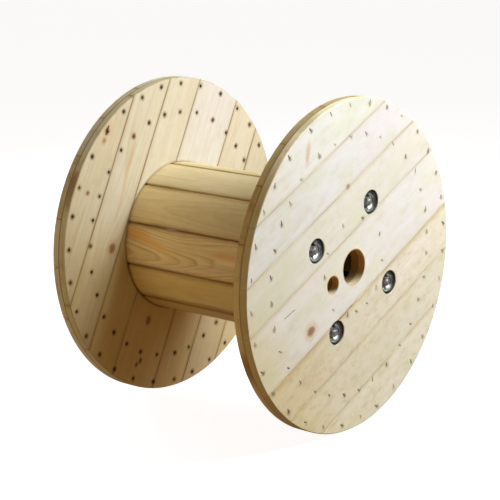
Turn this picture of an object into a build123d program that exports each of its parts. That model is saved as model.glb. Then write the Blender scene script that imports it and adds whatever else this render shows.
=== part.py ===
from build123d import *
import os
from math import cos, sin, radians, sqrt, pi

# Wooden cable drum (wire spool): two round flanges, each of two crossed layers of
# softwood boards nailed together, on a barrel of eleven bevelled staves, drawn up
# by four steel tie rods with nuts sunk in cup washers.
#
# Frame: +Z up, drum axis along Y, origin on the axis at mid width.
# The front flange is on the -Y side. Angles are in the X-Z plane, from +X to +Z.

# ---------------------------------------------------------------- dimensions, mm
FLANGE_D = 750.0          # flange diameter
WIDTH = 560.0             # overall width over the flanges
LAYER_T = 18.0            # one board layer; each flange has two
BARREL_D = 350.0          # barrel outside diameter
STAVE_T = 18.0            # stave thickness at its middle
STAVE_COUNT = 11
STAVE_PHASE = 160.4       # angle of one joint between staves
STAVE_GAP = 0.6           # gap between neighbouring staves
STAVE_EASE = 4.0          # rounding of the long outer edges of a stave
GROOVE_DEPTH = 8.0        # groove in each flange that holds the stave ends
GROOVE_CLEAR = 0.6        # radial clearance of a stave in its groove
ARBOR_D = 80.0            # spindle hole
DRIVE_D = 40.0            # drive pin hole beside it
DRIVE_X, DRIVE_Z = -77.5, -25.5
BOARD_GAP = 0.8           # gap between neighbouring boards
BOARD_EASE = 0.8          # chamfer of the long edges of a board
RIM_EASE = 1.6            # chamfer of the flange rim
JOINTS = [-278.0, -177.0, -75.0, 75.0, 177.0, 278.0]   # board joints across a layer
FRONT_OUTER_DEG = 25.0    # grain direction of each layer
FRONT_INNER_DEG = 115.0
REAR_INNER_DEG = 64.0
REAR_OUTER_DEG = 154.0

ROD_R = 6.0               # M12 tie rod
ROD_PITCH = 1.75
ROD_CIRCLE_R = 150.0
ROD_DEG = [66.0, 156.0, 246.0, 336.0]
ROD_HOLE_D = 13.0
NUT_AF = 19.0
NUT_H = 10.0
NUT_BORE_R = 6.05
CUP_R = 27.5              # rim radius of a cup washer
CUP_SUNK = 2.5            # the rim lies this far below the outer face
CUP_T = 1.6
CUP_DEPTH = 13.5          # from the top of the rim to the underside of the floor
CUP_FLOOR_R = 16.0
CUP_MOUTH_R = 23.8

NAIL_R = 1.5
NAIL_HEAD_R = 4.0
NAIL_HEAD_T = 1.2
NAIL_SUNK = 0.3           # the head lies this far below the inner face
CLINCH_L = 7.5            # bent-over end on the outer face, 5.5 to 9.5 long
CLINCH_T = 2.0
CLINCH_SUNK = 0.2
NAIL_CLEAR = 0.1
RIM_RING_R, MID_RING_R, HUB_RING_R = 360.0, 292.0, 109.0

FLANGE_R = FLANGE_D / 2
FACE_Y = WIDTH / 2
FLANGE_T = 2 * LAYER_T
INNER_Y = FACE_Y - FLANGE_T
BARREL_R = BARREL_D / 2
STAVE_FLAT = BARREL_R - STAVE_T
STAVE_L = 2 * (INNER_Y + GROOVE_DEPTH)

# nail angles round each ring, hand-driven and so a little uneven
FRONT_NAILS_DEG = [
    6.0, 16.5, 27.0, 37.5, 48.4, 60.5, 71.0, 82.0, 93.3, 104.4, 116.4, 130.3, 142.0, 151.4, 163.1, 174.3,
    185.5, 196.5, 207.8, 218.0, 230.0, 241.6, 252.7, 264.3, 275.4, 285.7, 297.3, 310.6, 321.5, 333.8, 344.5, 355.5,
]
REAR_NAILS_DEG = [
    7.4, 18.2, 28.9, 39.7, 50.2, 62.4, 75.0, 86.5, 97.4, 108.2, 119.0, 129.5, 141.0, 153.3, 163.9, 175.8,
    187.9, 199.5, 210.6, 221.5, 232.2, 243.9, 255.8, 268.0, 278.6, 289.2, 300.0, 311.0, 322.0, 334.0, 345.0, 356.0,
]
FRONT_HUB_DEG = [30.0, 73.0, 112.9, 154.2, 183.0, 229.0, 258.0, 277.2, 299.6, 321.5, 356.8]
REAR_HUB_DEG = [14.0, 52.0, 93.0, 128.0, 171.0, 222.0, 249.0, 281.0, 309.0, 341.0]

os.makedirs("parts", exist_ok=True)


def save(name, solids):
    """One STEP for one node; a group of fasteners is one compound of separate solids."""
    shape = solids[0] if len(solids) == 1 else Compound(children=solids)
    shape.label = name
    export_step(shape, "parts/" + name + ".step")


def turned(plane_x_deg):
    """Plane across the drum axis, its x along the given angle and its normal along -Y."""
    a = radians(plane_x_deg)
    return Plane(origin=(0, 0, 0), x_dir=(cos(a), 0, sin(a)), z_dir=(0, -1, 0))


def along_y(radius, y0, y1, x=0.0, z=0.0):
    """Cylinder parallel to the drum axis between two Y values."""
    plane = Plane(origin=(x, y0, z), x_dir=(1, 0, 0), z_dir=(0, 1, 0))
    return extrude(plane * Circle(radius), amount=y1 - y0)


def lathe(profile, side, x, z):
    """Solid of revolution about an axis parallel to Y through x, z. The profile is
    (radius, depth below the outer face); side is -1 at the front and +1 at the rear."""
    points = [(r, 0.0, side * (FACE_Y - d)) for r, d in profile]
    wire = Polyline(*[(px, pz, 0.0) for px, _, pz in points], close=True)
    solid = revolve(make_face(wire), axis=Axis.Y, revolution_arc=360)
    return Location((x, 0, z)) * solid


def jitter(i, k):
    """Repeatable unevenness between -1 and 1."""
    v = sin(12.9898 * (i + 1) + 78.233 * (k + 1)) * 43758.5453
    return 2 * (v - int(v // 1)) - 1


# ---------------------------------------------------------------- nails
def nail(side, x, z, clinch_deg, clinch_l, grow=0.0):
    """Round nail: head in the inner face, end bent over and sunk in the outer face."""
    head_top = side * (INNER_Y + NAIL_SUNK)
    head_low = side * (INNER_Y + NAIL_SUNK + NAIL_HEAD_T)
    leg_top = side * (FACE_Y - CLINCH_SUNK)
    leg_low = side * (FACE_Y - CLINCH_SUNK - CLINCH_T)
    if grow:   # the cutter runs out past both faces
        head_top = side * (INNER_Y - 2.0)
        leg_top = side * (FACE_Y + 2.0)
    shank = along_y(NAIL_R + grow, head_low, leg_top, x, z)
    head = along_y(NAIL_HEAD_R + grow, head_top, head_low, x, z)
    a = radians(clinch_deg)
    mx, mz = x + cos(a) * clinch_l / 2, z + sin(a) * clinch_l / 2
    plane = Plane(origin=(mx, leg_low, mz), x_dir=(cos(a), 0, sin(a)), z_dir=(0, side, 0))
    w = 2 * (NAIL_R + grow)
    leg = extrude(plane * SlotOverall(clinch_l + w, w), amount=abs(leg_top - leg_low))
    return (shank + head + leg).solids()[0]


def ring_positions(angles, radius, k, wobble):
    out = []
    for i, deg in enumerate(angles):
        r = radius + wobble * jitter(i, k)
        a = radians(deg + (0.0 if k % 3 == 0 else 0.5 * jitter(i, k + 7)))
        out.append((r * cos(a), r * sin(a)))
    return out


def nail_group(side, angles, radius, k, grain_deg, wobble):
    """Positions, clinch directions (mostly across the grain of the outer layer) and lengths."""
    out = []
    for i, (x, z) in enumerate(ring_positions(angles, radius, k, wobble)):
        out.append((side, x, z, grain_deg + 90.0 + 42.0 * jitter(i, k + 3), CLINCH_L + 2.0 * jitter(i, k + 5)))
    return out


NAILS = {
    "front_rim_nails": nail_group(-1, FRONT_NAILS_DEG, RIM_RING_R, 0, FRONT_OUTER_DEG, 1.5),
    "front_middle_nails": nail_group(-1, FRONT_NAILS_DEG, MID_RING_R, 1, FRONT_OUTER_DEG, 3.0),
    "front_hub_nails": nail_group(-1, FRONT_HUB_DEG, HUB_RING_R, 3, FRONT_OUTER_DEG, 3.0),
    "rear_rim_nails": nail_group(1, REAR_NAILS_DEG, RIM_RING_R, 6, REAR_OUTER_DEG, 1.5),
    "rear_middle_nails": nail_group(1, REAR_NAILS_DEG, MID_RING_R, 4, REAR_OUTER_DEG, 3.0),
    "rear_hub_nails": nail_group(1, REAR_HUB_DEG, HUB_RING_R, 9, REAR_OUTER_DEG, 3.0),
}
ROD_XZ = [(ROD_CIRCLE_R * cos(radians(d)), ROD_CIRCLE_R * sin(radians(d))) for d in ROD_DEG]

# ---------------------------------------------------------------- cup washer, nut, rod
CUP_TOP = CUP_SUNK
CUP_BOTTOM = CUP_SUNK + CUP_DEPTH
CUP_FLOOR = CUP_BOTTOM - CUP_T
CUP_PROFILE = [
    (CUP_R, CUP_TOP), (CUP_MOUTH_R, CUP_TOP), (CUP_MOUTH_R - 0.9, CUP_TOP + 0.7),
    (CUP_MOUTH_R - 1.7, CUP_TOP + 4.0), (CUP_MOUTH_R - 3.4, CUP_TOP + 7.6), (CUP_FLOOR_R - 0.6, CUP_FLOOR - 0.7),
    (CUP_FLOOR_R - 3.0, CUP_FLOOR), (ROD_HOLE_D / 2, CUP_FLOOR), (ROD_HOLE_D / 2, CUP_BOTTOM),
    (CUP_FLOOR_R - 2.0, CUP_BOTTOM), (CUP_FLOOR_R + 0.9, CUP_BOTTOM - 1.4), (CUP_MOUTH_R - 1.8, CUP_TOP + 8.4),
    (CUP_MOUTH_R, CUP_TOP + 4.2), (CUP_MOUTH_R + 0.6, CUP_TOP + CUP_T), (CUP_R, CUP_TOP + CUP_T),
]
# the seat drilled in the outer layer: counterbore, shoulder under the rim, tapered pocket
SEAT_PROFILE = [
    (0.0, -2.0), (CUP_R + 0.3, -2.0), (CUP_R + 0.3, CUP_TOP + CUP_T), (CUP_MOUTH_R + 1.0, CUP_TOP + CUP_T),
    (CUP_MOUTH_R + 0.5, CUP_TOP + 4.4), (CUP_MOUTH_R - 1.3, CUP_TOP + 8.6), (CUP_FLOOR_R + 1.5, CUP_BOTTOM - 1.2),
    (CUP_FLOOR_R - 1.6, CUP_BOTTOM), (0.0, CUP_BOTTOM),
]
NUT_TOP = CUP_FLOOR - NUT_H
ROD_END = NUT_TOP - 2.2


def nut(side, x, z, turn):
    """Hexagon nut with both ends chamfered, seated on the cup floor."""
    hexagon = RegularPolygon(radius=NUT_AF / sqrt(3.0), side_count=6)
    plane = Plane(origin=(x, side * (FACE_Y - CUP_FLOOR), z),
                  x_dir=(cos(radians(turn)), 0, sin(radians(turn))), z_dir=(0, side, 0))
    body = extrude(plane * hexagon, amount=NUT_H)
    corner, flat = NUT_AF / sqrt(3.0), NUT_AF / 2
    drop = (corner - flat) * 0.5
    barrel = lathe([(0, CUP_FLOOR), (flat, CUP_FLOOR), (corner + 0.3, CUP_FLOOR - drop - 0.1),
                    (corner + 0.3, NUT_TOP + drop + 0.1), (flat, NUT_TOP), (0, NUT_TOP)], side, x, z)
    bore = lathe([(0, CUP_FLOOR + 1), (NUT_BORE_R, CUP_FLOOR + 1), (NUT_BORE_R, NUT_TOP + 0.9),
                  (NUT_BORE_R + 1.6, NUT_TOP - 0.7), (0, NUT_TOP - 0.7)], side, x, z)
    return ((body & barrel) - bore).solids()[0]


def tie_rod(x, z):
    """Plain shank with ringed grooves at both ends in place of the thread."""
    end = FACE_Y - ROD_END
    half = [(ROD_R - 1.2, end), (ROD_R - 0.15, end - 1.1)]
    y = end - 1.1
    while y > end - 26.0:
        half += [(ROD_R, y - ROD_PITCH * 0.25), (ROD_R, y - ROD_PITCH * 0.40),
                 (ROD_R - 0.95, y - ROD_PITCH * 0.85), (ROD_R - 0.95, y - ROD_PITCH)]
        y -= ROD_PITCH
    half += [(ROD_R, y - ROD_PITCH * 0.5)]
    points = [(0.0, end)] + half + [(r, -p) for r, p in reversed(half)] + [(0.0, -end)]
    solid = revolve(make_face(Polyline(*[(r, p, 0.0) for r, p in points], close=True)), axis=Axis.Y)
    return Location((x, 0, z)) * solid


# ---------------------------------------------------------------- flange layers
def layer(prefix, side, outer, grain_deg):
    """Seven parallel boards of one layer, cut to the round, drilled and grooved."""
    y_in = INNER_Y if not outer else INNER_Y + LAYER_T
    y_out = y_in + LAYER_T
    exposed = y_out if outer else y_in
    # round blank with its exposed rim edge chamfered
    c = RIM_EASE
    if outer:
        blank = [(0, FACE_Y - y_in), (FLANGE_R, FACE_Y - y_in), (FLANGE_R, FACE_Y - y_out + c),
                 (FLANGE_R - c, FACE_Y - y_out), (0, FACE_Y - y_out)]
    else:
        blank = [(0, FACE_Y - y_in), (FLANGE_R - c, FACE_Y - y_in), (FLANGE_R, FACE_Y - y_in - c),
                 (FLANGE_R, FACE_Y - y_out), (0, FACE_Y - y_out)]
    disc = lathe(blank, side, 0, 0)

    cutters = [along_y(ARBOR_D / 2, side * (y_in - 1), side * (y_out + 1)),
               along_y(DRIVE_D / 2, side * (y_in - 1), side * (y_out + 1), DRIVE_X, DRIVE_Z)]
    for x, z in ROD_XZ:
        cutters.append(along_y(ROD_HOLE_D / 2, side * (y_in - 1), side * (y_out + 1), x, z))
        if outer:
            cutters.append(lathe(SEAT_PROFILE, side, x, z))
    spots = [(0.0, 0.0, ARBOR_D / 2), (DRIVE_X, DRIVE_Z, DRIVE_D / 2)]
    for x, z in ROD_XZ:
        spots += [(x, z, ROD_HOLE_D / 2)] + ([(x, z, CUP_R + 0.3)] if outer else [])
    for group in NAILS.values():
        for s, x, z, clinch, length in group:
            if s == side:
                cutters.append(nail(s, x, z, clinch, length, grow=NAIL_CLEAR))
                spots.append((x, z, length + 4.0))
    groove = None
    if not outer:
        r0 = STAVE_FLAT - GROOVE_CLEAR
        r1 = BARREL_R + GROOVE_CLEAR
        groove = along_y(r1, side * (INNER_Y - 1), side * (INNER_Y + GROOVE_DEPTH)) - along_y(
            r0, side * (INNER_Y - 2), side * (INNER_Y + GROOVE_DEPTH + 1))

    a = radians(grain_deg)
    ux, uz = cos(a), sin(a)
    nx, nz = -sin(a), cos(a)
    edges = [-FLANGE_R - 5] + JOINTS + [FLANGE_R + 5]
    for i in range(len(edges) - 1):
        lo, hi = edges[i] + BOARD_GAP / 2, edges[i + 1] - BOARD_GAP / 2
        e = BOARD_EASE
        # board section, across the grain and through the thickness, chamfered on the exposed face
        y_hid = y_in if outer else y_out
        sgn = 1.0 if outer else -1.0
        section = [(lo, y_hid), (hi, y_hid), (hi, exposed - sgn * e), (hi - e, exposed),
                   (lo + e, exposed), (lo, exposed - sgn * e)]
        points = [(-450 * ux + s * nx, side * y, -450 * uz + s * nz) for s, y in section]
        bar = extrude(make_face(Polyline(*points, close=True)), amount=900, dir=(ux, 0, uz))
        board = disc & bar
        for cutter, (x, z, r) in zip(cutters, cutter_spots(spots, cutters, outer)):
            across = x * nx + z * nz
            if lo - r <= across <= hi + r:
                board = board - cutter
        if groove is not None and not (lo > BARREL_R + 1 or hi < -BARREL_R - 1):
            board = board - groove
        pieces = board.solids()
        pieces.sort(key=lambda s: -s.volume)
        save(prefix + "_board_" + str(i + 1), [pieces[0]])
        print(prefix, i + 1, "solids", len(pieces), "volume", round(pieces[0].volume))


def cutter_spots(spots, cutters, outer):
    """The place and reach of each cutter, in the order the cutters were made."""
    assert len(spots) == len(cutters)
    return spots


layer("front_outer", -1, True, FRONT_OUTER_DEG)
layer("front_inner", -1, False, FRONT_INNER_DEG)
layer("rear_inner", 1, False, REAR_INNER_DEG)
layer("rear_outer", 1, True, REAR_OUTER_DEG)

# ---------------------------------------------------------------- barrel staves
step_deg = 360.0 / STAVE_COUNT
h = radians(step_deg / 2)
g = STAVE_GAP / 2
r1 = (STAVE_FLAT - g * sin(h)) / cos(h)
r2 = sqrt(BARREL_R ** 2 - g ** 2)
inner_pt = (r1 * cos(h) + g * sin(h), r1 * sin(h) - g * cos(h))
outer_pt = (r2 * cos(h) + g * sin(h), r2 * sin(h) - g * cos(h))
for k in range(STAVE_COUNT):
    mid_deg = STAVE_PHASE - (k + 0.5) * step_deg
    outline = (
        Line((inner_pt[0], -inner_pt[1]), (outer_pt[0], -outer_pt[1]))
        + ThreePointArc((outer_pt[0], -outer_pt[1]), (BARREL_R, 0), outer_pt)
        + Line(outer_pt, inner_pt)
        + Line(inner_pt, (inner_pt[0], -inner_pt[1]))
    )
    section = make_face(outline)
    # round the two long outer edges
    section = fillet(section.vertices().filter_by(lambda v: v.X ** 2 + v.Y ** 2 > (BARREL_R - 1) ** 2), STAVE_EASE)
    a = radians(mid_deg)
    plane = Plane(origin=(0, STAVE_L / 2, 0), x_dir=(cos(a), 0, sin(a)), z_dir=(0, -1, 0))
    stave = extrude(plane * section, amount=STAVE_L)
    save("barrel_stave_" + str(k + 1), [stave.solids()[0]])

# ---------------------------------------------------------------- fasteners
for i, (x, z) in enumerate(ROD_XZ):
    save("tie_rod_" + str(i + 1), [tie_rod(x, z).solids()[0]])
for word, side in (("front", -1), ("rear", 1)):
    save(word + "_cup_washers", [lathe(CUP_PROFILE, side, x, z).solids()[0] for x, z in ROD_XZ])
    turns = [12.0, 47.0, 31.0, 3.0] if side < 0 else [22.0, 54.0, 8.0, 39.0]
    save(word + "_nuts", [nut(side, x, z, t) for (x, z), t in zip(ROD_XZ, turns)])
for name, group in NAILS.items():
    save(name, [nail(*n) for n in group])
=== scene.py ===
import math
import random

import bmesh
import bpy
from mathutils import Matrix, Vector

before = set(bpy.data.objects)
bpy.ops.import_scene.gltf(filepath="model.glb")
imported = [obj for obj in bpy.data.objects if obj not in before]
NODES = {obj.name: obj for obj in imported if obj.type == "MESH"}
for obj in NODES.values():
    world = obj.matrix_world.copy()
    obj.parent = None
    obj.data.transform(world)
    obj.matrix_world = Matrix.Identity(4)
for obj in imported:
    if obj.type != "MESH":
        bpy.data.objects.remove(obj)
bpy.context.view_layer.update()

scene = bpy.context.scene

# ------------------------------------------------------------------ layout of the drum, metres
FLANGE_R = 0.375
FACE_Y, INNER_Y, LAYER_T = 0.280, 0.244, 0.018
JOINTS = [-0.375, -0.278, -0.177, -0.075, 0.075, 0.177, 0.278, 0.375]
LAYERS = {"front_outer": (25.0, -1, True), "front_inner": (115.0, -1, False),
          "rear_inner": (64.0, 1, False), "rear_outer": (154.0, 1, True)}
STAVE_PHASE, STAVE_COUNT = 160.4, 11
BARREL_R = 0.175

# ------------------------------------------------------------------ camera
EYE = Vector((-2.9781, -2.4121, 0.8960))
YAW, PITCH, FOCAL_PX = math.radians(50.809), math.radians(-13.199), 1706.77
look = Vector((math.cos(PITCH) * math.sin(YAW), math.cos(PITCH) * math.cos(YAW), math.sin(PITCH)))
cam_data = bpy.data.cameras.new("camera")
cam_data.sensor_width = 36.0
cam_data.lens = FOCAL_PX * 36.0 / 500.0
cam = bpy.data.objects.new("camera", cam_data)
scene.collection.objects.link(cam)
cam.location = EYE
cam.rotation_mode = "QUATERNION"
cam.rotation_quaternion = look.to_track_quat("-Z", "Y")
cam_data.clip_start, cam_data.clip_end = 0.05, 100.0
scene.camera = cam


# ------------------------------------------------------------------ node helpers
class Tree:
    """Short calls for building a shader. A value may be a number, a tuple or a socket."""

    def __init__(self, name):
        self.mat = bpy.data.materials.new(name)
        self.mat.use_nodes = True
        self.nt = self.mat.node_tree
        self.nt.nodes.clear()
        self.count = 0

    def node(self, kind, **attrs):
        n = self.nt.nodes.new(kind)
        self.count += 1
        n.location = (180 * (self.count % 24), -160 * (self.count // 24))
        for k, v in attrs.items():
            setattr(n, k, v)
        return n

    def put(self, socket, value):
        if isinstance(value, bpy.types.NodeSocket):
            self.nt.links.new(value, socket)
        elif value is not None:
            if socket.type == "RGBA" and len(value) == 3:
                value = (*value, 1.0)
            socket.default_value = value

    def math(self, op, a, b=None, c=None, clamp=False):
        n = self.node("ShaderNodeMath", operation=op, use_clamp=clamp)
        for i, v in enumerate((a, b, c)):
            if v is not None:
                self.put(n.inputs[i], v)
        return n.outputs[0]

    def add(self, a, b):
        return self.math("ADD", a, b)

    def sub(self, a, b):
        return self.math("SUBTRACT", a, b)

    def mul(self, a, b):
        return self.math("MULTIPLY", a, b)

    def vec(self, op, a, b=None, scale=None):
        n = self.node("ShaderNodeVectorMath", operation=op)
        self.put(n.inputs[0], a)
        if b is not None:
            self.put(n.inputs[1], b)
        if scale is not None:
            self.put(n.inputs["Scale"], scale)
        return n.outputs["Value"] if op in ("DOT_PRODUCT", "DISTANCE", "LENGTH") else n.outputs["Vector"]

    def combine(self, x, y, z):
        n = self.node("ShaderNodeCombineXYZ")
        for s, v in zip(n.inputs, (x, y, z)):
            self.put(s, v)
        return n.outputs[0]

    def separate(self, v):
        n = self.node("ShaderNodeSeparateXYZ")
        self.put(n.inputs[0], v)
        return n.outputs

    def noise(self, vector, scale=1.0, detail=2.0, rough=0.5, dims="3D", colour=False, distortion=0.0):
        n = self.node("ShaderNodeTexNoise", noise_dimensions=dims)
        self.put(n.inputs["Vector"], vector)
        n.inputs["Scale"].default_value = scale
        n.inputs["Detail"].default_value = detail
        n.inputs["Roughness"].default_value = rough
        n.inputs["Distortion"].default_value = distortion
        return n.outputs["Color" if colour else "Fac"]

    def white(self, w):
        n = self.node("ShaderNodeTexWhiteNoise", noise_dimensions="1D")
        self.put(n.inputs["W"], w)
        return n.outputs["Value"]

    def voronoi(self, vector, scale, feature="F1", rand=1.0, out="Distance"):
        n = self.node("ShaderNodeTexVoronoi", feature=feature)
        self.put(n.inputs["Vector"], vector)
        n.inputs["Scale"].default_value = scale
        n.inputs["Randomness"].default_value = rand
        return n.outputs[out]

    def ramp(self, fac, stops, mode="LINEAR"):
        n = self.node("ShaderNodeValToRGB")
        self.put(n.inputs[0], fac)
        r = n.color_ramp
        r.interpolation = mode
        while len(r.elements) < len(stops):
            r.elements.new(0.5)
        for e, (p, c) in zip(r.elements, stops):
            e.position = p
            e.color = (c, c, c, 1.0) if isinstance(c, (int, float)) else (*c, 1.0)
        return n.outputs["Color"]

    def smooth(self, v, lo, hi, out_lo=0.0, out_hi=1.0):
        n = self.node("ShaderNodeMapRange", interpolation_type="SMOOTHSTEP", clamp=True)
        self.put(n.inputs["Value"], v)
        for name, x in (("From Min", lo), ("From Max", hi), ("To Min", out_lo), ("To Max", out_hi)):
            self.put(n.inputs[name], x)
        return n.outputs["Result"]

    def linear(self, v, lo, hi, out_lo=0.0, out_hi=1.0, clamp=True):
        n = self.node("ShaderNodeMapRange", interpolation_type="LINEAR", clamp=clamp)
        self.put(n.inputs["Value"], v)
        for name, x in (("From Min", lo), ("From Max", hi), ("To Min", out_lo), ("To Max", out_hi)):
            self.put(n.inputs[name], x)
        return n.outputs["Result"]

    def mix(self, fac, a, b, blend="MIX"):
        n = self.node("ShaderNodeMix", data_type="RGBA", blend_type=blend)
        n.clamp_factor = True
        self.put(n.inputs["Factor"], fac)
        self.put(n.inputs[6], a)
        self.put(n.inputs[7], b)
        return n.outputs[2]

    def bump(self, height, distance, strength=1.0, normal=None):
        n = self.node("ShaderNodeBump")
        n.inputs["Strength"].default_value = strength
        n.inputs["Distance"].default_value = distance
        self.put(n.inputs["Height"], height)
        if normal is not None:
            self.put(n.inputs["Normal"], normal)
        return n.outputs[0]

    def object_coords(self):
        return self.node("ShaderNodeTexCoord").outputs["Object"]

    def finish(self, colour, rough, normal, **fixed):
        bsdf = self.node("ShaderNodeBsdfPrincipled")
        out = self.node("ShaderNodeOutputMaterial")
        self.put(bsdf.inputs["Base Color"], colour)
        self.put(bsdf.inputs["Roughness"], rough)
        if normal is not None:
            self.put(bsdf.inputs["Normal"], normal)
        for k, v in fixed.items():
            bsdf.inputs[k].default_value = v
        self.nt.links.new(bsdf.outputs[0], out.inputs[0])
        return self.mat


def lin(r, g, b):
    """sRGB 0-255 to linear."""
    def f(c):
        c /= 255.0
        return c / 12.92 if c <= 0.04045 else ((c + 0.055) / 1.055) ** 2.4
    return (f(r), f(g), f(b))


# ------------------------------------------------------------------ wood
def times(c, w):
    return tuple(min(1.0, x * y) for x, y in zip(c, w))


def wood(name, seed, along, across, depth, early, late, contrast=0.5, spacing=0.0045, pith=(0.0, 0.05),
         tilt=(0.0, 0.012), knots=(), spots=(), nails=(), edges=None, edge_dark=0.5, edge_wide=(0.0012, 0.0042),
         streak=0.5, blotch=0.5, cloud=0.5, rim=None, resin=0.0, clinched=False, marks=(), bores=(), band=None,
         wave=1.0, seat=0.0, seam=(0.010, 0.25), drift=0.0, groove_shade=0.0, heart_and_shade=None, patches=(),
         fade=None, mottle=0.0, joint_dust_and_shade=(0.46, 0.34, 0.18), warm=None, rim_top_light=None,
         seat_dark=1.0, seam_tint=(0.80, 0.70, 0.44)):
    """Softwood cut from a log: rings about a pith line that runs nearly along the board.

    along, across, depth are unit vectors; pith is the pith's place across and in depth,
    and tilt how far it drifts per metre along the board.
    knots: (along, across, radius, tone, halo); spots: (x, z, half length, half width, angle, tint, amount).
    nails: (x, z) of each nail through the piece; edges: across-grain limits of the board.
    rim: tint of the sawn round edge; bores: (x, z, radius) of each hole; band: (across, width, amount).
    """
    t = Tree(name)
    rnd = random.Random(seed)
    p = t.object_coords()
    u = t.vec("DOT_PRODUCT", p, along)
    s = t.vec("DOT_PRODUCT", p, across)
    d = t.vec("DOT_PRODUCT", p, depth)
    ox, oy, oz = (rnd.uniform(-40, 40) for _ in range(3))

    def at(ku, ks, kd, shift=0.0):
        return t.combine(t.math("MULTIPLY_ADD", u, ku, ox + shift), t.math("MULTIPLY_ADD", s, ks, oy - shift),
                         t.math("MULTIPLY_ADD", d, kd, oz + shift))

    slow = t.noise(at(1.5, 8.0, 8.0), detail=2.0, rough=0.45)
    slow2 = t.noise(at(2.2, 6.0, 6.0, 7.3), detail=1.0)
    fine = t.noise(at(9.0, 60.0, 60.0, 3.1), detail=2.0)

    # place of the pith beside this point
    sp = t.math("MULTIPLY_ADD", u, tilt[0], pith[0])
    dp = t.math("MULTIPLY_ADD", u, tilt[1], pith[1])
    ds = t.sub(s, t.math("MULTIPLY_ADD", t.sub(slow2, 0.5), 0.030 * wave, sp))
    dd = t.sub(d, t.math("MULTIPLY_ADD", t.sub(slow, 0.5), 0.022 * wave, dp))
    r = t.math("SQRT", t.add(t.mul(ds, ds), t.mul(dd, dd)))
    r = t.math("MULTIPLY_ADD", t.sub(fine, 0.5), 0.0016 * wave, r)

    # knots push the rings round themselves
    knot_fields = []
    if knots:
        ragged = t.noise(at(90.0, 130.0, 90.0, 51.0), detail=3.0, rough=0.6)
    for ku, ks, kr, tone, halo in knots:
        du = t.mul(t.sub(u, ku), 1.0 / (kr * 1.25))
        dk = t.mul(t.sub(s, ks), 1.0 / kr)
        wob = t.math("MULTIPLY_ADD", t.sub(fine, 0.5), 0.5, t.math("MULTIPLY_ADD", ragged, 0.7, 0.65))
        dist = t.mul(t.math("SQRT", t.add(t.mul(du, du), t.mul(dk, dk))), wob)
        lu = t.mul(t.sub(u, ku), 1.0 / (kr * 5.0))
        ls = t.mul(t.sub(s, ks), 1.0 / (kr * 2.2))
        push = t.math("EXPONENT", t.mul(t.add(t.mul(lu, lu), t.mul(ls, ls)), -1.0))
        r = t.math("MULTIPLY_ADD", push, kr * 0.9, r)
        knot_fields.append((dist, tone, halo, push))

    q = t.math("DIVIDE", r, spacing)
    q = t.math("MULTIPLY_ADD", t.noise(t.combine(t.mul(r, 70.0), ox, oy), detail=1.0), 2.2, q)
    f = t.math("FRACT", q)
    ring_tone = t.linear(t.white(t.math("FLOOR", q)), 0.0, 1.0, 0.35, 1.15)
    latewood = t.ramp(f, [(0.0, 0.30), (0.06, 0.06), (0.35, 0.05), (0.68, 0.38), (0.90, 1.0), (1.0, 0.32)])
    latewood = t.mul(latewood, ring_tone)
    faded = t.linear(t.noise(at(2.0, 11.0, 11.0, 61.0), detail=2.0), 0.30, 0.68, 0.45, 1.25)
    ring = t.math("MULTIPLY", latewood, t.mul(faded, contrast), clamp=True)

    # fibres, pores and slow blotches
    fibre = t.noise(at(14.0, 520.0, 520.0, 1.7), detail=3.0, rough=0.6)
    hair = t.noise(at(45.0, 2100.0, 2100.0, 9.9), detail=2.0, rough=0.6)
    patch = t.noise(at(3.5, 22.0, 22.0, 5.5), detail=3.0, rough=0.55)
    hue = t.noise(at(2.4, 13.0, 13.0, 12.5), detail=2.0)
    mist = t.noise(at(11.0, 26.0, 26.0, 71.0), detail=4.0, rough=0.62)

    col = t.mix(ring, early, late)
    # slow drift between paler, warmer and greyer wood
    col = t.mix(t.math("MULTIPLY", t.smooth(patch, 0.42, 0.72), 0.55 * blotch), col, times(early, (0.93, 0.88, 0.76)))
    col = t.mix(t.math("MULTIPLY", t.smooth(hue, 0.52, 0.74), 0.45 * blotch), col, times(early, (1.04, 0.93, 0.90)))
    col = t.mix(t.math("MULTIPLY", t.smooth(mist, 0.50, 0.72), 0.60 * cloud), col, times(early, (0.84, 0.83, 0.70)))
    col = t.mix(t.math("MULTIPLY", t.smooth(mist, 0.46, 0.28), 0.50 * cloud), col, times(early, (1.05, 1.05, 1.07)))
    if drift > 0:
        # green and pink clouds that hardly follow the grain
        green = t.smooth(t.noise(at(7.0, 12.0, 12.0, 81.0), detail=3.0, rough=0.6), 0.47, 0.68)
        col = t.mix(t.mul(green, drift), col, times(early, (0.93, 0.95, 0.80)))
        pink = t.smooth(t.noise(at(5.0, 9.0, 9.0, 93.0), detail=3.0, rough=0.6), 0.52, 0.70)
        col = t.mix(t.mul(pink, 0.7 * drift), col, times(early, (1.02, 0.94, 0.93)))
    if mottle > 0:
        grey = t.noise(at(42.0, 60.0, 60.0, 33.0), detail=3.0, rough=0.65)
        col = t.mix(t.mul(t.smooth(grey, 0.50, 0.72), mottle), col, times(early, (0.84, 0.80, 0.68)))
        col = t.mix(t.mul(t.smooth(grey, 0.48, 0.30), 0.6 * mottle), col, times(early, (1.05, 1.05, 1.06)))
    if heart_and_shade is not None:
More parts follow.
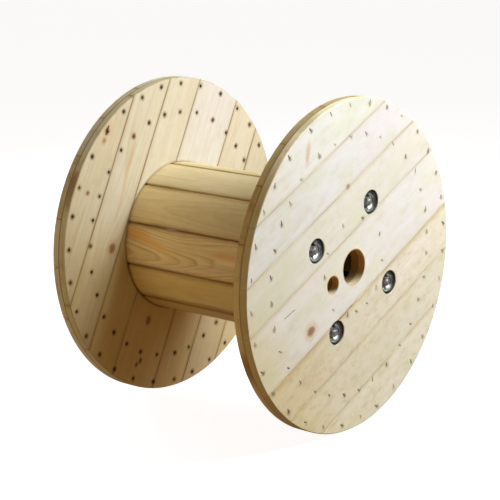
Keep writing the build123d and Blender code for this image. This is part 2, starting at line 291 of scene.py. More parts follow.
        # deeper coloured wood over one stretch of the board; on the rear inner boards it is painted shade over their
        # lower stretch
        h_from, h_to, h_tint = heart_and_shade
        deep_col = t.mix(1.0, col, h_tint, "MULTIPLY")
        stretch = t.math("MULTIPLY_ADD", t.sub(slow2, 0.5), 0.06, u)
        col = t.mix(t.smooth(stretch, h_from, h_to), col, deep_col)
    for pu, ps, hu, hs, slope, tint, amount in patches:
        a = t.sub(u, pu)
        b2 = t.math("MULTIPLY_ADD", a, -slope, t.sub(s, ps))
        b2 = t.mul(t.math("MULTIPLY_ADD", t.sub(fine, 0.5), 0.020, b2), 1.0 / hs)
        a = t.mul(a, 1.0 / hu)
        far = t.math("SQRT", t.add(t.mul(a, a), t.mul(b2, b2)))
        col = t.mix(t.smooth(far, 1.30, 0.25, 0.0, amount), col, tint)
    # sparse darker streaks along the grain
    thin = t.smooth(t.noise(at(2.6, 150.0, 150.0, 21.0), detail=3.0, rough=0.65), 0.56, 0.78)
    col = t.mix(t.mul(thin, 0.40 * streak), col, times(late, (0.86, 0.76, 0.60)))
    if resin > 0:
        zone = t.smooth(t.noise(at(1.9, 30.0, 30.0, 31.0), detail=3.0, rough=0.6), 0.50, 0.66)
        col = t.mix(t.mul(zone, resin), col, times(late, (1.10, 0.84, 0.42)))
    shade = t.math("MULTIPLY_ADD", t.sub(fibre, 0.5), 0.24 * streak + 0.06, 1.0)
    shade = t.math("MULTIPLY", shade, t.math("MULTIPLY_ADD", t.sub(hair, 0.5), 0.16, 1.0))
    col = t.mix(1.0, col, t.combine(shade, shade, shade), "MULTIPLY")

    # knots: a warm heart with its own rings, a dark bark line and a stained halo
    for dist, tone, halo, push in knot_fields:
        heart_and_shade = t.math("FRACT", t.mul(dist, 2.6))
        kcol = t.mix(heart_and_shade, times(late, (0.60 * tone, 0.34 * tone, 0.22 * tone)),
                     times(late, (0.94 * tone, 0.60 * tone, 0.44 * tone)))
        kcol = t.mix(t.smooth(dist, 0.60, 0.0, 0.0, 0.75), kcol, times(late, (0.34 * tone, 0.21 * tone, 0.11 * tone)))
        bark = t.mul(t.smooth(dist, 0.60, 0.92), t.smooth(dist, 1.35, 0.98))
        kcol = t.mix(t.mul(bark, 0.78), kcol, times(late, (0.36 * tone, 0.24 * tone, 0.14 * tone)))
        col = t.mix(t.smooth(dist, 3.2, 0.9, 0.0, halo), col, times(late, (1.0, 0.80, 0.66)))
        col = t.mix(t.smooth(dist, 1.60, 0.70, 0.0, 0.88), col, kcol)

    xyz = t.separate(p)
    # painted shade towards the front end of the piece and painted light towards its rear end
    if fade is not None:
        light_level = t.linear(u, -INNER_Y, INNER_Y, fade[0], fade[1])
        col = t.mix(1.0, col, t.combine(light_level, light_level, light_level), "MULTIPLY")
    if warm is not None:
        # a slow change of tint from one side of the flange to the other
        turn_x, turn_z, w_from, w_to, w_tint = warm
        place = t.math("MULTIPLY_ADD", xyz[0], turn_x, t.mul(xyz[2], turn_z))
        place = t.math("MULTIPLY_ADD", t.sub(mist, 0.5), 0.05, place)
        col = t.mix(t.smooth(place, w_from, w_to), col, t.mix(1.0, col, w_tint, "MULTIPLY"))
    flat = t.combine(xyz[0], 0.0, xyz[2])
    for sx, sz, half_l, half_w, ang, tint, amount in spots:
        c, sn = math.cos(math.radians(ang)), math.sin(math.radians(ang))
        rel = t.vec("SUBTRACT", flat, (sx, 0.0, sz))
        a = t.mul(t.vec("DOT_PRODUCT", rel, (c, 0.0, sn)), 1.0 / half_l)
        b2 = t.mul(t.vec("DOT_PRODUCT", rel, (-sn, 0.0, c)), 1.0 / half_w)
        b2 = t.math("MULTIPLY_ADD", t.sub(fine, 0.5), 0.9, b2)
        b2 = t.math("MULTIPLY_ADD", t.sub(mist, 0.5), 0.9, b2)
        far = t.math("SQRT", t.add(t.mul(a, a), t.mul(b2, b2)))
        col = t.mix(t.smooth(far, 1.35, 0.20, 0.0, amount), col, tint)
    if band is not None:
        place, width, amount = band
        near = t.math("ABSOLUTE", t.sub(t.math("MULTIPLY_ADD", t.sub(slow2, 0.5), width * 1.6, s), place))
        col = t.mix(t.smooth(near, width, 0.0, 0.0, amount), col, times(late, (0.86, 0.78, 0.58)))

    # end grain takes more dirt and shows darker
    nrm = t.node("ShaderNodeNewGeometry").outputs["Normal"]
    end = t.math("ABSOLUTE", t.vec("DOT_PRODUCT", nrm, along))
    end = t.smooth(end, 0.25, 0.95)
    col = t.mix(t.mul(end, 0.80), col, t.mix(t.math("MULTIPLY", ring, 1.5, clamp=True), times(early, (0.82, 0.75, 0.62)),
                                             times(late, (0.60, 0.48, 0.34))))

    height = t.math("MULTIPLY_ADD", latewood, 0.35, t.mul(fibre, 0.9))
    height = t.math("MULTIPLY_ADD", hair, 0.30, height)

    if rim is not None:
        radius = t.math("SQRT", t.add(t.mul(xyz[0], xyz[0]), t.mul(xyz[2], xyz[2])))
        edge = t.smooth(radius, FLANGE_R - 0.0022, FLANGE_R - 0.0008)
        grime = t.noise(p, 30.0, 5.0, 0.66)
        saw = t.noise(t.combine(t.mul(xyz[0], 6.0), t.mul(xyz[1], 260.0), t.mul(xyz[2], 6.0)), 1.0, 3.0, 0.6)
        # painted light: the top of the round edge takes a tint of its own
        edge_tint_and_top_light = rim if rim_top_light is None else t.mix(t.smooth(xyz[2], 0.19, 0.33), rim, rim_top_light)
        col = t.mix(edge, col, t.mix(1.0, col, edge_tint_and_top_light, "MULTIPLY"))
        worn = t.mul(t.smooth(radius, FLANGE_R - 0.0040, FLANGE_R - 0.0003), t.smooth(grime, 0.50, 0.72, 0.0, 0.42))
        col = t.mix(worn, col, times(late, (0.50, 0.38, 0.22)))
        col = t.mix(t.mul(edge, t.smooth(saw, 0.50, 0.68, 0.0, 0.45)), col, times(late, (0.56, 0.44, 0.26)))
        layers = t.math("ABSOLUTE", t.sub(t.math("ABSOLUTE", xyz[1]), INNER_Y + LAYER_T))
        layers = t.math("MULTIPLY_ADD", t.sub(grime, 0.5), 0.0016, layers)
        col = t.mix(t.mul(edge, t.smooth(layers, 0.0026, 0.0006, 0.0, 0.70)), col, times(late, (0.32, 0.22, 0.11)))

    for bx, bz, br in bores:
        dist = t.vec("DISTANCE", flat, (bx, 0.0, bz))
        inside = t.smooth(dist, br + 0.0030, br + 0.0004)
        burnt = t.linear(mist, 0.30, 0.70, 0.75, 1.0)
        turned = t.noise(t.combine(0.0, t.mul(xyz[1], 420.0), bx), 1.0, 3.0, 0.6)
        # the bore wall: the cut wood's colour darkened with painted shade, then painted light on its upper part and
        # painted shade below its middle
        wall = t.mix(t.smooth(turned, 0.38, 0.62), lin(174, 126, 38), lin(204, 154, 56))
        wall = t.mix(t.smooth(t.sub(xyz[2], bz), 0.25 * br, 0.90 * br, 0.0, 0.85), wall, lin(228, 192, 112))
        wall = t.mix(t.smooth(t.sub(bz, xyz[2]), 0.05 * br, 0.80 * br, 0.0, 0.90), wall, lin(112, 84, 34))
        deep = t.math("ABSOLUTE", t.sub(t.math("ABSOLUTE", xyz[1]), INNER_Y + LAYER_T))
        wall = t.mix(t.smooth(deep, 0.0020, 0.0005, 0.0, 0.75), wall, lin(90, 58, 24))
        # painted light: the lowest part of the bore wall is painted pale
        wall = t.mix(t.smooth(t.sub(xyz[2], bz), -0.35 * br, -0.98 * br, 0.0, 0.85), wall, lin(214, 198, 146))
        col = t.mix(t.mul(inside, burnt), col, wall)

    if edges is not None:
        # dark lines and soft bands along the joints: dust in the joint together with painted shade; on the staves,
        # painted shade of their rounded edges
        lo, hi = edges
        gap = t.math("MINIMUM", t.math("ABSOLUTE", t.sub(s, lo)), t.math("ABSOLUTE", t.sub(s, hi)))
        vary = t.noise(at(7.0, 3.0, 3.0, 44.0), detail=3.0, rough=0.6)
        wide = t.linear(vary, 0.35, 0.65, *edge_wide)
        line = t.math("SUBTRACT", 1.0, t.math("DIVIDE", gap, wide), clamp=True)
        soft = t.math("MULTIPLY_ADD", t.sub(mist, 0.5), seam[0] * 0.9, gap)
        soft = t.smooth(soft, seam[0], 0.0, 0.0, seam[1])
        col = t.mix(soft, col, times(late, seam_tint))
        col = t.mix(t.mul(line, edge_dark), col, times(late, joint_dust_and_shade))
    if seat > 0:
        # dust and shade where the stave enters its groove, darkest at the joints
        ends = t.math("ABSOLUTE", xyz[1])
        wide_end = t.smooth(t.math("MULTIPLY_ADD", t.sub(mist, 0.5), 0.010, ends), INNER_Y - seat, INNER_Y)
        col = t.mix(t.mul(wide_end, 0.40 * seat_dark), col, times(late, (0.66, 0.48, 0.22)))
        close = t.smooth(t.math("MULTIPLY_ADD", t.sub(mist, 0.5), 0.004, ends), INNER_Y - 0.0045, INNER_Y - 0.0005)
        col = t.mix(t.mul(close, 0.62 * seat_dark), col, times(late, (0.34, 0.23, 0.11)))
        if edges is not None:
            corner = t.mul(t.smooth(ends, INNER_Y - 0.010, INNER_Y - 0.003), t.smooth(gap, 0.0070, 0.0025))
            col = t.mix(t.mul(corner, 0.75 * (0.4 + 0.6 * seat_dark)), col, times(late, (0.14, 0.09, 0.04)))
    if groove_shade > 0:
        # painted shade: a dark ring round the groove that holds the staves, stronger below than above
        ring_r = t.math("SQRT", t.add(t.mul(xyz[0], xyz[0]), t.mul(xyz[2], xyz[2])))
        ring_r = t.math("MULTIPLY_ADD", t.sub(fine, 0.5), 0.004, ring_r)
        groove_shade_mask = t.mul(t.smooth(ring_r, BARREL_R + 0.0065, BARREL_R + 0.0006, 0.0, groove_shade),
                     t.linear(xyz[2], -0.10, 0.10, 1.0, 0.45))
        col = t.mix(groove_shade_mask, col, times(late, (0.34, 0.24, 0.13)))

    if nails:
        near = None
        for nx, nz in nails:
            dist = t.vec("DISTANCE", flat, (nx, 0.0, nz))
            near = dist if near is None else t.math("MINIMUM", near, dist)
        near = t.math("MULTIPLY_ADD", t.sub(t.noise(p, 160.0, 3.0), 0.5), 0.008, near)
        vary_n = t.smooth(t.noise(p, 17.0, 1.0), 0.38, 0.62)
        if clinched:
            stain = t.smooth(near, 0.0085, 0.0015)
            col = t.mix(t.mul(stain, t.linear(vary_n, 0.0, 1.0, 0.12, 0.80)), col, lin(134, 126, 88))
            height = t.sub(height, t.smooth(near, 0.007, 0.001, 0.0, 0.7))
        else:
            stain = t.smooth(near, 0.0105, 0.0045)
            col = t.mix(t.mul(stain, t.linear(vary_n, 0.0, 1.0, 0.32, 0.70)), col, lin(112, 80, 44))
            height = t.sub(height, t.smooth(near, 0.009, 0.0030, 0.0, 2.4))

    for ax, az, bx, bz, width, amount, tint in marks:
        # a scratch or crack from a to b
        length = math.hypot(bx - ax, bz - az)
        c, sn = (bx - ax) / length, (bz - az) / length
        rel = t.vec("SUBTRACT", flat, (ax, 0.0, az))
        a = t.vec("DOT_PRODUCT", rel, (c, 0.0, sn))
        b2 = t.vec("DOT_PRODUCT", rel, (-sn, 0.0, c))
        over = t.math("MAXIMUM", t.math("MAXIMUM", t.mul(a, -1.0), t.sub(a, length)), 0.0)
        b2 = t.math("MULTIPLY_ADD", t.sub(t.noise(p, 90.0, 2.0), 0.5), width * 1.6, b2)
        far = t.math("SQRT", t.add(t.mul(over, over), t.mul(b2, b2)))
        line = t.smooth(far, width, width * 0.2)
        col = t.mix(t.mul(line, amount), col, tint)
        height = t.math("MULTIPLY_ADD", line, -1.2, height)

    rough = t.linear(t.math("MULTIPLY_ADD", patch, 0.5, t.mul(fibre, 0.5)), 0.25, 0.75, 0.50, 0.74)
    normal = t.bump(height, 0.00022, 0.75)
    return t.finish(col, rough, normal, **{"Specular IOR Level": 0.30})


# ------------------------------------------------------------------ where the nails are, read from the frame
def islands(obj):
    """Centre in X-Z of each separate solid of a node."""
    mesh = obj.data
    parent = list(range(len(mesh.vertices)))

    def root(i):
        while parent[i] != i:
            parent[i] = parent[parent[i]]
            i = parent[i]
        return i

    for e in mesh.edges:
        a, b = root(e.vertices[0]), root(e.vertices[1])
        if a != b:
            parent[a] = b
    # the glTF import splits vertices at sharp edges, so join those that share a place
    seen = {}
    for v in mesh.vertices:
        key = tuple(round(c, 5) for c in v.co)
        if key in seen:
            a, b = root(seen[key]), root(v.index)
            if a != b:
                parent[a] = b
        else:
            seen[key] = v.index
    groups = {}
    for v in mesh.vertices:
        groups.setdefault(root(v.index), []).append(v.co)
    return [g for g in groups.values() if len(g) > 20]


def nail_places(side):
    """(x, z) of the shank of each nail of a flange."""
    out = []
    for part in ("rim", "middle", "hub"):
        for g in islands(NODES[side + "_" + part + "_nails"]):
            head = [v for v in g if abs(v.y) < INNER_Y + 0.0016]
            cx = sum(v.x for v in head) / len(head)
            cz = sum(v.z for v in head) / len(head)
            out.append((cx, cz))
    return sorted(out)


FRONT_NAILS, REAR_NAILS = nail_places("front"), nail_places("rear")
print("nails", len(FRONT_NAILS), len(REAR_NAILS))

# ------------------------------------------------------------------ boards
# early and late wood of each layer, board by board
PALE = {
    "front_outer": [((243, 245, 229), (222, 214, 178)), ((236, 237, 220), (213, 201, 163)),
                    ((234, 233, 222), (211, 198, 164)), ((237, 242, 241), (219, 214, 192)),
                    ((232, 237, 231), (212, 204, 174)), ((232, 238, 240), (213, 210, 190)),
                    ((235, 242, 241), (217, 215, 195))],
    "front_inner": [((221, 198, 149), (190, 151, 95)), ((217, 192, 140), (184, 144, 88)),
                    ((222, 201, 154), (192, 155, 100)), ((219, 194, 142), (187, 147, 90)),
                    ((224, 203, 156), (194, 158, 104)), ((217, 192, 141), (184, 143, 86)),
                    ((221, 199, 150), (190, 152, 97))],
    "rear_inner": [((217, 207, 175), (188, 160, 114)), ((209, 202, 179), (178, 153, 110)),
                    ((212, 206, 184), (183, 161, 120)), ((215, 213, 206), (193, 181, 158)),
                    ((214, 210, 190), (186, 163, 121)), ((213, 209, 186), (183, 158, 114)),
                    ((210, 204, 176), (178, 152, 107))],
    "rear_outer": [((226, 212, 178), (200, 170, 122)), ((224, 208, 170), (196, 164, 114)),
                   ((229, 217, 188), (206, 180, 134)), ((222, 204, 164), (194, 158, 106)),
                   ((228, 215, 184), (202, 174, 126)), ((224, 210, 174), (198, 166, 116)),
                   ((226, 214, 182), (202, 174, 126))],
}
STYLE = {
    "front_outer": dict(contrast=0.20, streak=0.24, blotch=0.8, cloud=1.1, edge_dark=0.42, seam=(0.011, 0.24), drift=0.75,
                        mottle=0.30, joint_dust_and_shade=(0.48, 0.43, 0.29), seam_tint=(0.80, 0.74, 0.50)),
    "front_inner": dict(contrast=0.50, streak=0.6, blotch=0.7, cloud=0.6, edge_dark=0.75, groove_shade=0.6),
    "rear_inner": dict(contrast=0.34, streak=0.65, blotch=0.8, cloud=0.9, edge_dark=0.62, seam=(0.010, 0.35), drift=0.35,
                       groove_shade=0.75, mottle=0.20),
    "rear_outer": dict(contrast=0.42, streak=0.6, blotch=0.8, cloud=0.7, edge_dark=0.60),
}
RIM = {"front_outer": (0.64, 0.52, 0.26), "front_inner": (0.82, 0.84, 0.68),
       "rear_inner": (1.00, 1.02, 0.94), "rear_outer": (0.91, 1.04, 1.14)}
# painted light: tints for the top of the round edge
RIM_TOP_LIGHT = {"front_outer": (1.12, 1.00, 0.76), "front_inner": (0.80, 0.94, 1.00)}
BORES = ((0.0, 0.0, 0.040), (-0.0775, -0.0255, 0.020))


def board_frame(deg):
    a = math.radians(deg)
    return (math.cos(a), 0.0, math.sin(a)), (-math.sin(a), 0.0, math.cos(a))


def along_across(deg, x, z):
    a = math.radians(deg)
    return math.cos(a) * x + math.sin(a) * z, -math.sin(a) * x + math.cos(a) * z


# knots as (x, z, radius, tone, halo)
KNOTS = {
    "front_outer": [(-0.156, -0.113, 0.0085, 0.66, 0.75), (-0.0265, 0.1844, 0.0046, 0.74, 0.40)],
    "front_inner": [(0.10, 0.26, 0.010, 0.9, 0.4), (-0.22, -0.10, 0.008, 0.9, 0.4), (0.20, -0.21, 0.011, 0.9, 0.4),
                    (-0.05, 0.31, 0.006, 1.0, 0.3)],
    "rear_inner": [(-0.221, 0.005, 0.0080, 0.84, 0.42), (-0.102, -0.192, 0.0070, 0.75, 0.40),
                   (-0.230, 0.280, 0.0042, 0.40, 0.55), (-0.240, 0.258, 0.0032, 0.70, 0.55),
                   (-0.296, 0.146, 0.0034, 0.70, 0.45)],
    "rear_outer": [(0.10, 0.22, 0.010, 1.0, 0.4), (-0.18, 0.06, 0.008, 1.0, 0.4), (0.21, -0.17, 0.012, 0.9, 0.4),
                   (-0.06, -0.28, 0.007, 1.1, 0.4)],
}
SPOTS = {  # stains as (x, z, half length, half width, angle, tint, amount)
    "front_outer": [(-0.170, 0.276, 0.030, 0.0085, 80.0, lin(214, 172, 140), 0.62)],
    "rear_inner": [(-0.158, 0.195, 0.080, 0.0060, 68.0, lin(206, 164, 104), 0.50),
                   (-0.190, 0.110, 0.060, 0.0050, 66.0, lin(206, 168, 112), 0.35),
                   (-0.144, 0.259, 0.011, 0.0090, 64.0, lin(206, 156, 102), 0.50),
                   (-0.219, 0.282, 0.016, 0.0110, 80.0, lin(216, 174, 132), 0.48),
                   (-0.242, 0.256, 0.013, 0.0100, 40.0, lin(208, 166, 124), 0.42),
                   (-0.133, -0.284, 0.0085, 0.0050, 70.0, lin(74, 46, 24), 0.85),
                   (-0.146, -0.291, 0.0085, 0.0060, 50.0, lin(74, 46, 24), 0.85)],
    "front_inner": [], "rear_outer": [],
}

for prefix, (deg, side, outer) in LAYERS.items():
    along, across = board_frame(deg)
    places = FRONT_NAILS if side < 0 else REAR_NAILS
    for i in range(7):
        lo, hi = JOINTS[i], JOINTS[i + 1]
        rnd = random.Random(prefix + str(i))
        mid = (lo + hi) / 2
        early, late = (lin(*c) for c in PALE[prefix][i])
        mine = []
        for x, z in places:
            _, sv = along_across(deg, x, z)
            if lo - 0.012 < sv < hi + 0.012:
                mine.append((x, z))
        knots = []
        for x, z, kr, tone, halo in KNOTS[prefix]:
            ku, ks = along_across(deg, x, z)
            if lo - 2 * kr < ks < hi + 2 * kr:
                knots.append((ku, ks, kr, tone, halo))
        spots = []
        for spot in SPOTS[prefix]:
            _, ks = along_across(deg, spot[0], spot[1])
            if lo < ks < hi:
                spots.append(spot)
        marks, band, extra = [], None, {}
        if prefix == "rear_inner":
            # painted shade: the rear inner boards turn darker and more golden towards their lower ends, where the
            # barrel and the front flange shade them
            tint = [(0.97, 0.95, 0.86), (0.94, 0.86, 0.70), (0.93, 0.80, 0.56), (0.93, 0.78, 0.48), (0.90, 0.79, 0.50),
                    (0.88, 0.80, 0.60), (0.84, 0.80, 0.66)][i]
            extra["heart_and_shade"] = (0.02, -0.12, tint) if i < 5 else (0.06, -0.20, tint)
        if prefix == "rear_inner" and i == 6:
            marks.append((-0.2345, 0.2715, -0.2255, 0.2885, 0.0040, 0.92, lin(58, 36, 18)))
        if prefix == "front_outer":
            if i in (2, 3):
                marks.append((-0.075, -0.119, -0.004, -0.086, 0.0034, 0.66, lin(150, 100, 60)))
            if i == 3:
                marks.append((-0.247, -0.0650, -0.212, -0.0530, 0.0016, 0.85, lin(112, 104, 76)))
            if i == 2:
                band = (-0.080, 0.016, 0.40)
            if i <= 2:
                extra = dict(wave=2.0, cloud=1.3, mottle=0.85)
                if i < 2:
                    extra["heart_and_shade"] = (-0.16, 0.10, (0.945, 0.955, 0.985))
            else:
                extra = dict(heart_and_shade=(0.00, 0.24, (0.94, 0.93, 0.96)))
            extra["warm"] = (-0.75, -0.66, 0.08 if i == 2 else 0.21, 0.37, (0.97, 0.92, 0.72))
        hole = () if prefix in ("front_inner", "rear_outer") and i not in (2, 3, 4) else BORES
        y_face = side * (FACE_Y if outer else INNER_Y)
        pith_depth = y_face + side * rnd.choice((-1, 1)) * rnd.uniform(0.028, 0.075)
        mat = wood("wood_" + prefix + "_" + str(i + 1), prefix + "x" + str(i), along, across, (0.0, 1.0, 0.0), early, late,
                   spacing=rnd.uniform(0.0038, 0.0062), pith=(mid + rnd.uniform(-0.06, 0.06), pith_depth),
                   tilt=(rnd.uniform(-0.012, 0.012), rnd.uniform(-0.03, 0.03)), knots=knots, spots=spots, nails=mine,
                   edges=(lo, hi), clinched=outer, marks=marks, band=band, rim=RIM[prefix], rim_top_light=RIM_TOP_LIGHT.get(prefix),
                   bores=hole if i in (2, 3, 4) else (), **{**STYLE[prefix], **extra})
        o = NODES[prefix + "_board_" + str(i + 1)]
        o.data.materials.clear()
        o.data.materials.append(mat)

# ------------------------------------------------------------------ barrel staves
for k in range(STAVE_COUNT):
    mid = STAVE_PHASE - (k + 0.5) * 360.0 / STAVE_COUNT
    a = math.radians(mid)
    depth = (math.cos(a), 0.0, math.sin(a))
    across = (-math.sin(a), 0.0, math.cos(a))
    rnd = random.Random("stave" + str(k))
    deg = mid % 360
    tone = {"early": (203, 193, 149), "late": (171, 142, 90), "contrast": 0.50, "resin": 0.12, "spacing": 0.0048,
            "fade": (0.89, 1.19)}
    # painted shade where the staves enter the groove is weaker on the staves that face up and to the left, where light
    # reaches
    seat_dark = 0.40 if 90 < deg < 190 else 1.0
    pith = (rnd.uniform(-0.03, 0.03), BARREL_R - rnd.uniform(0.04, 0.07))
    tilt = (rnd.uniform(-0.02, 0.02), rnd.uniform(-0.03, 0.03))
    knots, wave, patches = [], 1.0, []
    if abs(deg - 111.3) < 3:      # the pale one on top
        tone.update(early=(216, 202, 161), late=(191, 164, 114), contrast=0.36, resin=0.0, fade=(0.72, 1.12))
        knots = [(-0.075, 0.012, 0.0045, 1.1, 0.3)]
    elif abs(deg - 144.0) < 3:
        tone.update(early=(217, 200, 149), late=(183, 151, 94), contrast=0.45, resin=0.05, fade=(0.68, 1.27))
    elif abs(deg - 176.8) < 3:    # the strongly figured one
        tone.update(early=(222, 202, 148), late=(168, 126, 66), contrast=0.95, resin=0.30, spacing=0.0044)
        pith, tilt, wave = (0.006, BARREL_R - 0.045), (0.010, 0.060), 1.7
        patches = [(0.215, -0.026, 0.040, 0.017, 0.0, lin(204, 150, 66), 0.65),
                   (0.165, -0.012, 0.070, 0.013, -0.26, lin(222, 168, 92), 0.66),
                   (-0.060, -0.013, 0.050, 0.010, 0.04, lin(210, 146, 86), 0.58),
                   (-0.020, 0.024, 0.150, 0.016, 0.05, lin(196, 174, 140), 0.45)]
    elif abs(deg - 209.5) < 3:
        tone.update(early=(205, 185, 122), late=(168, 132, 68), contrast=0.50, resin=0.10)
        patches = [(0.0, 0.047, 0.40, 0.018, 0.0, lin(150, 118, 58), 0.75)]
    elif abs(deg - 242.2) < 3:
        tone.update(early=(188, 164, 104), late=(152, 119, 62), contrast=0.40, resin=0.0)
    half = BARREL_R * math.tan(math.radians(180.0 / STAVE_COUNT)) * 0.985
    # the wide dark edges and seams of the staves are painted shade of their rounded edges
    mat = wood("wood_stave_" + str(k + 1), "stave" + str(k), (0.0, 1.0, 0.0), across, depth, lin(*tone["early"]),
               lin(*tone["late"]), contrast=tone["contrast"], spacing=tone["spacing"], pith=pith, tilt=tilt, knots=knots,
               edges=(-half, half), edge_dark=0.76, edge_wide=(0.0042, 0.0100), seam=(0.016, 0.60), streak=0.8,
               blotch=0.7, cloud=0.9, drift=0.35, resin=tone["resin"], wave=wave, seat=0.012, patches=patches,
               fade=tone["fade"], mottle=0.25, seat_dark=seat_dark)
    o = NODES["barrel_stave_" + str(k + 1)]
    o.data.materials.clear()
    o.data.materials.append(mat)


# ------------------------------------------------------------------ steel
def steel(name, tint, rough_lo, rough_hi, grime, scale=60.0, dark=(0.10, 0.09, 0.07), metallic=1.0, bump=0.00008,
          cups=(), black_shank=False):
    t = Tree(name)
    p = t.object_coords()
    cloud = t.noise(p, scale, 4.0, 0.6)
    speck = t.noise(p, scale * 9, 3.0, 0.6)
    spangle = t.voronoi(p, scale * 5, out="Distance")
    col = t.mix(t.smooth(cloud, 0.38, 0.68, 0.0, 1.0), tint, tuple(c * 0.80 for c in tint))
    col = t.mix(t.math("MULTIPLY", t.smooth(speck, 0.55, 0.75), grime), col, dark)
    col = t.mix(t.mul(t.linear(spangle, 0.0, 0.8, 0.0, 1.0), 0.12), col, tuple(min(1.0, c * 1.15) for c in tint))
    rough = t.linear(t.math("MULTIPLY_ADD", cloud, 0.6, t.mul(speck, 0.4)), 0.3, 0.7, rough_lo, rough_hi)
    height = t.math("MULTIPLY_ADD", speck, 0.6, cloud)
    xyz = t.separate(p)
    if cups:
        # painted shade, with some dark oxide, on the rim and in the corner round the floor of each cup
        flat = t.combine(xyz[0], 0.0, xyz[2])
        near = None
        for cx, cz in cups:
            dist = t.vec("DISTANCE", flat, (cx, 0.0, cz))
            near = dist if near is None else t.math("MINIMUM", near, dist)
        near = t.math("MULTIPLY_ADD", t.sub(cloud, 0.5), 0.003, near)
        rim = t.smooth(near, 0.0205, 0.0235)
        corner = t.mul(t.smooth(near, 0.0110, 0.0128), t.smooth(near, 0.0165, 0.0142))
        col = t.mix(t.mul(rim, 0.93), col, (0.035, 0.036, 0.030))
        col = t.mix(t.mul(corner, 0.75), col, (0.050, 0.050, 0.045))
        rough = t.math("MULTIPLY_ADD", rim, 0.22, rough)
    if black_shank:
        # only the ends are plated, the shank inside the drum is black
        shank = t.smooth(t.math("ABSOLUTE", xyz[1]), 0.262, 0.255)
        col = t.mix(t.mul(shank, 0.96), col, (0.020, 0.018, 0.015))
        rough = t.math("MULTIPLY_ADD", shank, 0.25, rough)
    return t.finish(col, rough, t.bump(height, bump, 0.5), **{"Metallic": metallic, "Specular IOR Level": 0.5})


def nail_steel():
    """Dull dark heads on the inner face, brighter rubbed ends on the outer face."""
    t = Tree("nail_steel")
    p = t.object_coords()
    y = t.math("ABSOLUTE", t.separate(p)[1])
    outer = t.smooth(y, 0.262, 0.272)
    cloud = t.noise(p, 240.0, 3.0, 0.6)
    each = t.smooth(t.noise(p, 23.0, 1.0), 0.36, 0.64)
    head = t.mix(t.smooth(cloud, 0.4, 0.65), lin(38, 29, 19), lin(68, 50, 32))
    head = t.mix(t.smooth(t.noise(p, 31.0, 1.0), 0.50, 0.62, 0.0, 0.75), head, lin(104, 78, 46))
    tip = t.mix(each, lin(74, 70, 50), lin(182, 172, 136))
    tip = t.mix(t.smooth(cloud, 0.42, 0.62, 0.0, 0.5), tip, lin(116, 106, 76))
    col = t.mix(outer, head, tip)
    rough = t.linear(cloud, 0.3, 0.7, 0.50, 0.75)
    return t.finish(col, rough, t.bump(cloud, 0.0002, 0.5), **{"Metallic": 0.20, "Specular IOR Level": 0.3})


RODS = [(0.150 * math.cos(math.radians(d)), 0.150 * math.sin(math.radians(d))) for d in (66, 156, 246, 336)]
ZINC_CUP = steel("zinc_cup", (0.56, 0.57, 0.56), 0.18, 0.30, 0.55, cups=RODS)
ZINC_NUT = steel("zinc_nut", (0.56, 0.56, 0.56), 0.28, 0.42, 0.40, scale=90.0, metallic=0.60)
ZINC_ROD = steel("zinc_rod", (0.50, 0.50, 0.50), 0.30, 0.46, 0.40, scale=70.0, metallic=0.60, black_shank=True)
NAIL = nail_steel()
for n, o in NODES.items():
    mat = None
    if n.endswith("cup_washers"):
        mat = ZINC_CUP
    elif n.endswith("nuts"):
        mat = ZINC_NUT
    elif n.startswith("tie_rod"):
        mat = ZINC_ROD
    elif n.endswith("nails"):
        mat = NAIL
    if mat is not None:
        o.data.materials.clear()
        o.data.materials.append(mat)

# ------------------------------------------------------------------ floor and light
def make_floor():
    bm = bmesh.new()
    bmesh.ops.create_grid(bm, x_segments=1, y_segments=1, size=60.0)
    me = bpy.data.meshes.new("floor")
    bm.to_mesh(me)
    bm.free()
    o = bpy.data.objects.new("floor", me)
    o.location = (0.0, 0.0, -FLANGE_R)
    scene.collection.objects.link(o)
    t = Tree("floor_paper")
    mottle = t.noise(t.object_coords(), 3.0, 2.0)
    col = t.mix(mottle, (0.33, 0.33, 0.33), (0.36, 0.36, 0.36))
    o.data.materials.append(t.finish(col, 0.9, None, **{"Specular IOR Level": 0.1,
                                                        "Emission Color": (1.0, 1.0, 1.0, 1.0),
                                                        "Emission Strength": 0.905}))
    o.visible_diffuse = False
    o.visible_glossy = False


def area(name, place, target, size, power, tint=(1.0, 1.0, 1.0)):
    data = bpy.data.lights.new(name, "AREA")
    data.shape = "DISK"
    data.size = size
    data.energy = power
    data.color = tint
    o = bpy.data.objects.new(name, data)
    scene.collection.objects.link(o)
    o.location = place
    o.rotation_mode = "QUATERNION"
    o.rotation_quaternion = (Vector(target) - Vector(place)).to_track_quat("-Z", "Y")
    return o


make_floor()


def towards(direction, distance, strength):
    """Place and power of an area light that gives this strength at the middle of the drum."""
    return Vector(direction).normalized() * distance, strength * (math.pi * distance) ** 2


place, power = towards((0.42, -0.52, 0.75), 2.4, 1.23)
area("key_high", place, (0.0, 0.0, 0.0), 1.5, power).visible_glossy = False
place, power = towards((0.60, -0.60, 0.55), 2.3, 0.39)
area("key_side", place, (0.0, 0.0, 0.0), 1.5, power).visible_glossy = False
place, power = towards((-0.03, -0.70, 0.70), 2.4, 1.15)
area("glint", place, (0.0, 0.0, -0.05), 2.5, power).visible_diffuse = False
place, power = towards((-1.0, 0.28, 0.16), 3.2, 0.20)
area("left", place, (0.0, 0.0, 0.0), 1.9, power, (1.0, 0.90, 0.75))
place, power = towards((0.15, 1.0, 0.17), 3.2, 0.55)
area("back", place, (0.0, 0.0, 0.0), 1.9, power)

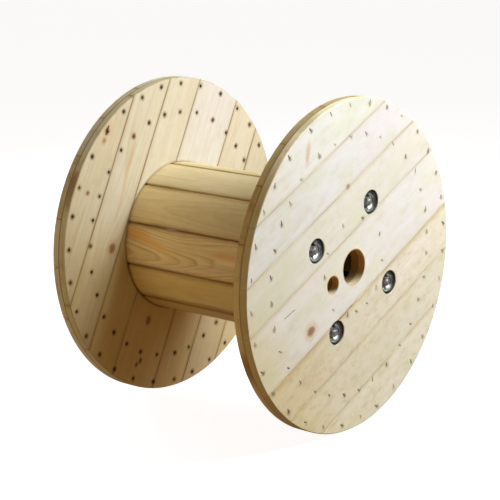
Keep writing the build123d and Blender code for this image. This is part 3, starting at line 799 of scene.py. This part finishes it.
world = bpy.data.worlds.new("world")
scene.world = world
world.use_nodes = True
wt = world.node_tree
wt.nodes.clear()
wc = wt.nodes.new("ShaderNodeTexCoord")
wx = wt.nodes.new("ShaderNodeSeparateXYZ")
wr = wt.nodes.new("ShaderNodeValToRGB")
wm = wt.nodes.new("ShaderNodeMapRange")
wt.links.new(wc.outputs["Generated"], wx.inputs[0])
wt.links.new(wx.outputs[2], wm.inputs["Value"])
wm.inputs["From Min"].default_value = -1.0
wm.inputs["From Max"].default_value = 1.0
wt.links.new(wm.outputs["Result"], wr.inputs[0])
sky = [(0.0, (0.280, 0.148, 0.045)), (0.42, (0.280, 0.148, 0.045)), (0.50, (0.426, 0.272, 0.138)),
       (0.60, (0.40, 0.27, 0.150)), (0.75, (0.08, 0.065, 0.05)), (1.0, (0.074, 0.063, 0.052))]
ramp = wr.color_ramp
while len(ramp.elements) < len(sky):
    ramp.elements.new(0.5)
for e, (pos, c) in zip(ramp.elements, sky):
    e.position = pos
    e.color = (*c, 1.0)
lit = wt.nodes.new("ShaderNodeBackground")
wt.links.new(wr.outputs["Color"], lit.inputs["Color"])
seen = wt.nodes.new("ShaderNodeBackground")
seen.inputs["Color"].default_value = (1.0, 1.0, 1.0, 1.0)
path = wt.nodes.new("ShaderNodeLightPath")
choose = wt.nodes.new("ShaderNodeMixShader")
wt.links.new(path.outputs["Is Camera Ray"], choose.inputs[0])
shine = wt.nodes.new("ShaderNodeValToRGB")
wt.links.new(wm.outputs["Result"], shine.inputs[0])
grey = [(0.0, 0.56), (0.12, 0.40), (0.28, 0.03), (0.46, 0.01), (0.58, 0.03), (0.72, 0.22), (1.0, 0.42)]
while len(shine.color_ramp.elements) < len(grey):
    shine.color_ramp.elements.new(0.5)
for e, (pos, v) in zip(shine.color_ramp.elements, grey):
    e.position = pos
    e.color = (v, v, v, 1.0)
mirrored = wt.nodes.new("ShaderNodeBackground")
wt.links.new(shine.outputs["Color"], mirrored.inputs["Color"])
around = wt.nodes.new("ShaderNodeMixShader")
wt.links.new(path.outputs["Is Glossy Ray"], around.inputs[0])
wt.links.new(lit.outputs[0], around.inputs[1])
wt.links.new(mirrored.outputs[0], around.inputs[2])
wt.links.new(around.outputs[0], choose.inputs[1])
wt.links.new(seen.outputs[0], choose.inputs[2])
wo = wt.nodes.new("ShaderNodeOutputWorld")
wt.links.new(choose.outputs[0], wo.inputs[0])
scene.view_settings.view_transform = "Standard"
scene.view_settings.look = "None"
